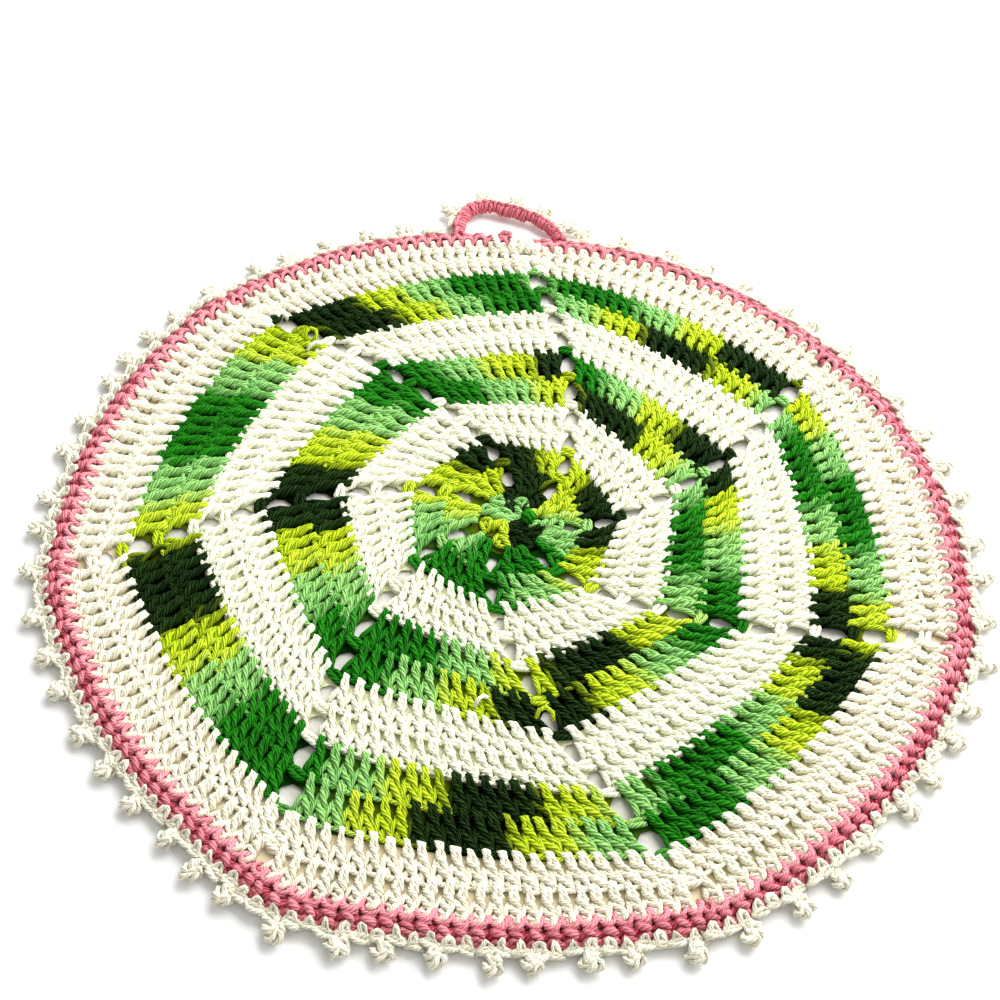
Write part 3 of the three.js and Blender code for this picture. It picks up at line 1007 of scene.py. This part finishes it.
# Each strand's depth value is painted shade: the strands low under the arches and along the ridge are
# a deeper pink
pink_stitch = bundle(
    "pink_stitch",
    strand([(-1.3, -3.7, 0.8), (-1.28, -2.9, 1.6), (-1.02, -2.0, 2.05), (-0.5, -1.2, 2.3),
            (0.2, -1.0, 2.35), (0.85, -1.4, 2.2), (1.22, -2.4, 1.75), (1.3, -3.5, 0.9)],
           [0.32, 0.4, 0.46, 0.5, 0.5, 0.48, 0.42, 0.32]),
    strand([(-0.95, 0.4, 1.85), (-0.45, 0.2, 2.3), (0.35, -0.14, 2.36), (0.95, -0.4, 1.9)],
           [0.3, 0.54, 0.54, 0.3], depth=0.3),
    strand([(-0.9, -1.0, 1.75), (-0.3, -0.78, 2.12), (0.4, -0.62, 2.15), (1.0, -0.55, 1.85)],
           [0.3, 0.42, 0.42, 0.3], depth=0.2),
    strand([(-1.1, 1.4, 1.3), (-0.5, 0.95, 1.8), (0.3, 0.8, 1.85), (1.1, 1.1, 1.4)],
           [0.3, 0.46, 0.46, 0.3], depth=0.3),
    strand([(-1.45, -0.1, 1.35), (0, -0.05, 1.4), (1.45, -0.1, 1.35)], 0.74, depth=0.9),
    strand([(-1.45, -1.9, 0.95), (0, -1.95, 1.0), (1.45, -1.9, 0.95)], 0.75, depth=0.6),
    strand([(-1.45, 1.2, 0.95), (0, 1.2, 0.95), (1.45, 1.2, 0.95)], 0.72, depth=0.5),
)


# %% [markdown]
# Along the edge the stitches are spaced by the length of the outline, not by its turn, because the
# outline is a soft heptagon. Anything that runs along a line is then laid with three directions at
# each place: along the line, across it and up.

# %% Laying stitches along a line
RIDGE_STEP = 0.8


def lay_along(pattern, name, places, along, across, size=1.0, loose=0.06, wild=UNRULY):
    """Copies of a pattern at places in millimetres, with its u along the line and v across it."""
    count = len(places)
    piece, flat = repeat(pattern, count, name)
    u, v, w = (flat[:, i][None, :, None] for i in range(3))
    size = np.broadcast_to(size, count)[:, None, None]
    points = places[:, None, :] + u * size * along[:, None, :] + v * across[:, None, :]
    points = points + np.array([0, 0, 1.0]) * w + random.normal(0, loose, (count, 1, 3))
    write_points(piece, unruly(points, wild))
    return piece


def edge_frame(turns, squeeze=FAR_SQUEEZE):
    """Places, directions along and directions across on the ridge, narrower at the far side."""
    along = unit(ridge(turns + RIDGE_STEP) - ridge(turns - RIDGE_STEP))
    far = np.clip(np.cos(np.radians(turns)), 0, 1)[:, None]
    across = np.stack([-along[:, 1], along[:, 0]], 1) * (1 - squeeze * far)
    upright = np.zeros((len(turns), 1))
    return tuple(np.concatenate([x, upright], 1) for x in (ridge(turns), along, across))


# %% The border
over_corners = [spoke_turn(ROUNDS[-1][1], sector) for sector in range(SECTORS)]
turns = np.sort(np.concatenate([HEAD_TURNS[ROUNDS[-1][0]], over_corners]) % 360)
line = ridge(turns)
pitch = np.linalg.norm(np.roll(line, -1, axis=0) - np.roll(line, 1, axis=0), axis=1) / 2
kept = (turns < JOIN_FROM) | (turns > JOIN_TO)
turns, pitch = turns[kept], pitch[kept]
border = lay_along(pink_stitch, "border", *edge_frame(turns), size=pitch / EDGE_W * BORDER_SIZE,
                   loose=BORDER_LOOSE, wild=BORDER_WILD)
# Painted light: the far side of the border loses most of its painted shade, since the light falls
# strongest there
far = np.clip(np.cos(np.radians(turns)), 0, 1)[:, None]
depth = read_values(border, "depth").reshape(len(turns), -1) * (1 - FAR_PAINTED_LIGHT * far)
write_values(border, "depth", depth + random.normal(0, DEPTH_SPREAD, (len(turns), 1)))
finish_piece(border, "stitches_pink_border", "pink", "pink_border")


# %% [markdown]
# The cream edging hooks a thin V over the pink ridge from every stitch, then runs on as a chain.
# After every few stitches the chain makes a picot, a small knotted ring that sticks out. A strand
# that winds five times round a ring while it goes round twice has just the look of one.

# %% The edging
EDGING_FROM, EDGING_TO = 5.0, 346.1
EDGING_SIZE = 1.05
EDGING_LOOSE, EDGING_WILD, EDGING_SPREAD = 0.16, 0.36, 0.07
edging_stitch = bundle(
    "edging_stitch",
    strand([(-0.7, 2.35, 1.3), (-0.52, 1.7, 1.95), (-0.28, 1.15, 2.25), (0.05, 0.95, 2.4),
            (0.32, 1.25, 2.3), (0.42, 1.75, 1.95), (0.62, 2.35, 1.35)], 0.38),
    strand([(-1.5, 2.55, 1.2), (-0.6, 2.95, 1.7), (0.5, 2.85, 1.75), (1.35, 2.4, 1.5),
            (0.6, 2.05, 1.7), (-0.5, 2.0, 1.65), (-1.45, 2.2, 1.1)], 0.44),
    strand([(-1.45, 2.3, 0.9), (0, 2.35, 0.9), (1.45, 2.3, 0.9)], 0.6),
)
fine_turns = np.linspace(EDGING_FROM, EDGING_TO, 1441)
run = run_along(ridge(fine_turns))
count = round(run[-1] / EDGE_W)
pitch = run[-1] / count
turns = np.interp((np.arange(count) + 0.5) * run[-1] / count, run, fine_turns)
places, along, across = edge_frame(turns)
across = across * random.normal(1, EDGING_SPREAD, (len(turns), 1))
edging = lay_along(edging_stitch, "edging", places, along, across,
                   size=pitch / EDGE_W * EDGING_SIZE, loose=EDGING_LOOSE, wild=EDGING_WILD)
finish_piece(edging, "stitches_edging", "edging", "picot_edging")

# %% Picots
PICOT_TURNS = np.array([
    7, 13.8, 21, 26.5, 33, 40.5, 45, 50.8, 56.8, 62, 68.5, 74.3, 79.3, 86.8, 92.3, 98.8, 104.8,
    111.3, 116.3, 122.8, 127.5, 134, 139.8, 145.3, 151.3, 157, 163.3, 168, 173.8, 178, 184, 189.3,
    194, 200, 205.5, 209.8, 214.5, 220.5, 225.8, 231.3, 237.8, 242.8, 248.5, 255, 261.3, 266.3,
    274.3, 279.8, 287.3, 291.8, 297, 302, 308, 316.3, 321, 327.5, 334, 339.5])
PICOT_V, PICOT_Z, KNOT_R, KNOT_COIL = 4.05, 1.5, 1.08, 0.52
KNOT_POINTS, KNOT_WINDS, KNOT_ROUNDS = 35, 5, 2
PICOT_OUT, PICOT_SPREAD, PICOT_SIZES, PICOT_WILD = 0.25, 0.25, 0.06, 0.4
t = np.linspace(0, 2 * math.pi, KNOT_POINTS + 1)[:-1]
coil = KNOT_R + KNOT_COIL * np.cos(KNOT_WINDS * t)
knot = np.stack([coil * np.cos(KNOT_ROUNDS * t), PICOT_V + coil * np.sin(KNOT_ROUNDS * t),
                 PICOT_Z + KNOT_COIL * np.sin(KNOT_WINDS * t)], 1)
picot = bundle("picot", strand(knot, 0.44, closed=True),
               strand([(-0.8, 4.25, 1.3), (-0.3, 4.1, 1.45), (0.3, 4.0, 1.45), (0.8, 3.9, 1.3)],
                      [0.7, 1.2, 1.2, 0.7]),
               strand([(-0.8, 1.7, 1.2), (-0.6, 2.4, 1.65), (-0.3, 3.2, 1.6)], 0.48),
               strand([(0.8, 1.7, 1.2), (0.55, 2.4, 1.75), (0.35, 3.2, 1.5)], 0.48))
count = len(PICOT_TURNS)
places, along, across = edge_frame(PICOT_TURNS, PICOT_SQUEEZE)
places = places + across * random.normal(PICOT_OUT, PICOT_SPREAD, (count, 1))
picots = lay_along(picot, "picots", places, along, across,
                   size=random.normal(1, PICOT_SIZES, count), wild=PICOT_WILD)
finish_piece(picots, "picots", "edging", "picot_edging")


# %% [markdown]
# The hanging loop is a chain with single crochet worked closely round it. Its middle line keeps
# within half a millimetre of the one in the part's source, but for its feet, which reach down into
# the border. Rings of yarn wind round it side by side, and chain links run along its outer side,
# with the edging's last thread and five picots beyond them.

# %% The hanging loop
LOOP_ROUTE = np.array([
    (-16.7, 76.8, 1.6), (-16.8, 79.2, 1.8), (-15.9, 82.4, 2.0), (-13.6, 84.9, 2.1),
    (-10.6, 85.8, 2.1), (-7.4, 85.3, 2.1), (-3.2, 84.1, 2.1), (0.6, 82.4, 2.0), (3.3, 80.2, 1.8),
    (4.9, 77.8, 1.6)])
WRAP_STEP, LINK_STEP = 0.86, 1.5
WRAP_R, WRAP_SLANT = 0.92, 0.3


def smooth_line(knots, count):
    """Even steps along a smooth line through knots, the direction at each, and its length."""
    gaps = np.linalg.norm(np.diff(knots, axis=0), axis=1)
    chord = np.concatenate([[0], np.cumsum(np.sqrt(gaps))])
    slope = np.gradient(knots, chord, axis=0)
    fine = np.linspace(0, chord[-1], 400)
    i = np.clip(np.searchsorted(chord, fine, side="right") - 1, 0, len(knots) - 2)
    step = (chord[i + 1] - chord[i])[:, None]
    s = ((fine - chord[i])[:, None]) / step
    line = ((2 * s**3 - 3 * s**2 + 1) * knots[i] + (s**3 - 2 * s**2 + s) * step * slope[i]
            + (3 * s**2 - 2 * s**3) * knots[i + 1] + (s**3 - s**2) * step * slope[i + 1])
    run = run_along(line)
    at = np.linspace(0, run[-1], count)
    even = np.stack([np.interp(at, run, line[:, k]) for k in range(3)], 1)
    return even, unit(np.gradient(even, axis=0)), run[-1]


def loop_frame(count):
    """Even places along the loop, with the directions along it and out from it."""
    places, along, _ = smooth_line(LOOP_ROUTE, count)
    return places, along, unit(np.stack([-along[:, 1], along[:, 0], np.zeros(count)], 1))


_, _, loop_length = smooth_line(LOOP_ROUTE, len(LOOP_ROUTE))
print("the loop is", round(loop_length, 1), "mm long")
angle = np.linspace(0, 2 * math.pi, 12)[:-1]
ring = np.stack([WRAP_SLANT * np.cos(angle), WRAP_R * np.cos(angle), WRAP_R * np.sin(angle)], 1)
# The depth values are painted shade: the wraps a deeper pink, the core beneath them deepest, and the
# links a little deeper
wrap = bundle("wrap", strand(ring, 0.43, depth=0.5, closed=True))
core = bundle("core", strand([(-0.5, 0, 0), (0.5, 0, 0)], 0.8, depth=1.0))
frames = loop_frame(int(loop_length / WRAP_STEP))
wraps = lay_along(wrap, "wraps", *frames, loose=0.08, wild=0.3)
cores = lay_along(core, "cores", *frames, loose=0)
loop_link = bundle("loop_link", strand(
    [(-1.0, 0.45, 1.0), (-0.4, 0.6, 1.28), (0.4, 0.35, 1.32), (0.95, 0.1, 1.0)],
    [0.3, 0.44, 0.44, 0.3], depth=0.3))
links = lay_along(loop_link, "links", *loop_frame(int(loop_length / LINK_STEP)), loose=0.05)
finish_piece(join(wraps, cores, links), "hanging_loop_cord", "pink", "hanging_loop")

# %% The loop's picots
LOOP_STRAND_OUT = 2.0
SIDE_LINKS = np.linspace(0.08, 0.93, 17)
LOOP_PICOTS = np.array([0.18, 0.37, 0.56, 0.75, 0.92])
LOOP_PICOT_IN, LOOP_PICOT_DOWN = 2.2, 1.5
FINE_STEPS = 200


def beside_loop(shares):
    """Places beside the loop at shares of its length, with the directions there."""
    places, along, across = loop_frame(FINE_STEPS)
    at = shares * (FINE_STEPS - 1)
    return [np.stack([np.interp(at, np.arange(FINE_STEPS), line[:, k]) for k in range(3)], 1)
            for line in (places + across * LOOP_STRAND_OUT, along, across)]


side_link = bundle("side_link", strand(
    [(-1.3, 0.1, -0.2), (-0.6, 0.3, 0.1), (0.5, 0.2, 0.15), (1.2, -0.1, -0.1),
     (0.5, -0.35, 0.05), (-0.6, -0.3, 0.0), (-1.3, -0.1, -0.3)], 0.34))
side_links = lay_along(side_link, "side_links", *beside_loop(SIDE_LINKS), loose=0.05)
places, along, across = beside_loop(LOOP_PICOTS)
places = places - across * LOOP_PICOT_IN - np.array([0, 0, LOOP_PICOT_DOWN])
loop_knots = lay_along(picot, "loop_knots", places, along, across)
finish_piece(join(side_links, loop_knots), "loop_picot_edging", "edging", "loop_picots")


# %% [markdown]
# A hand-made mat has its accidents: a stitch that caught a second loop, the end of a thread that
# was worked in and came up again. The ones that show are laid one by one as short strands.

# %% Caught loops and thread ends
# Each one: its name, yarn, dye run, radius and route. The pink one belongs to the border.
# The painted shade of the loose bits, which only the pink yarn shows
LOOSE_PAINTED_SHADE = 0.4
LOOSE_BITS = [
    ("loop_lime", "green", 0.18, 0.42, [
        (-43.6, 40.2, 1.9), (-43.9, 41.6, 2.7), (-43.0, 42.6, 3.1), (-41.9, 42.2, 3.0),
        (-41.6, 41.0, 2.5), (-42.4, 40.0, 1.9)]),
    ("end_white_far", "white", 0.0, 0.42, [
        (-43.0, 37.4, 1.8), (-42.4, 38.4, 2.6), (-41.5, 38.9, 2.9), (-40.4, 39.2, 2.6)]),
    ("loop_lime_near", "green", 0.2, 0.42, [
        (6.8, -41.8, 1.9), (7.2, -40.6, 2.7), (8.3, -40.1, 3.0), (9.4, -40.8, 2.7),
        (9.6, -42.0, 1.9)]),
    ("end_white_near", "white", 0.0, 0.4, [
        (-3.4, -40.6, 1.9), (-2.9, -39.6, 2.7), (-2.2, -39.0, 2.8), (-1.4, -38.8, 2.2)]),
    ("join_post_left", "cream", 0.0, 0.72, [
        (-7.0, 72.4, 1.2), (-8.2, 74.0, 2.2), (-8.9, 75.6, 2.6), (-9.0, 76.8, 2.0)]),
    ("join_post_middle", "cream", 0.0, 0.8, [
        (-5.6, 72.2, 1.2), (-5.0, 74.0, 2.3), (-4.6, 75.8, 2.9), (-4.4, 77.0, 2.2)]),
    ("join_post_right", "cream", 0.0, 0.78, [
        (-3.6, 72.6, 1.3), (-3.0, 74.2, 2.2), (-2.9, 75.6, 2.6), (-3.2, 76.8, 2.0)]),
    ("join_post_last", "cream", 0.0, 0.85, [
        (-1.9, 72.8, 1.2), (-1.5, 74.0, 2.0), (-1.3, 75.2, 2.3), (-1.2, 76.2, 1.8)]),
    ("join_post_beyond", "cream", 0.0, 0.8, [
        (0.0, 72.6, 1.2), (0.2, 73.6, 1.9), (0.4, 74.6, 2.0), (0.6, 75.4, 1.5)]),
    ("join_top", "cream", 0.0, 0.62, [
        (-5.6, 75.2, 2.3), (-3.8, 75.5, 2.6), (-1.8, 75.4, 2.2), (0.2, 74.8, 1.9),
        (2.4, 74.0, 1.7)]),
    ("join_tuft", "pink", 0.0, 0.7, [
        (-8.1, 76.6, 1.8), (-7.0, 77.2, 2.7), (-5.9, 77.0, 2.8), (-5.5, 75.9, 1.9)]),
]
for name, kind, run, thick, route in LOOSE_BITS:
    bit = strand(route, thick, depth=LOOSE_PAINTED_SHADE)
    settle(bit, run)
    finish_piece(bit, name, kind, "pink_border" if kind == "pink" else "wheel")


# %% [markdown]
# The patterns have been copied and aren't part of the mat, so they go.

# %% Remove the patterns
for pattern in (double_crochet, last_crochet, chain_link, pink_stitch, edging_stitch, picot,
                wrap, core, loop_link, side_link, yarn_section):
    bpy.data.objects.remove(pattern)
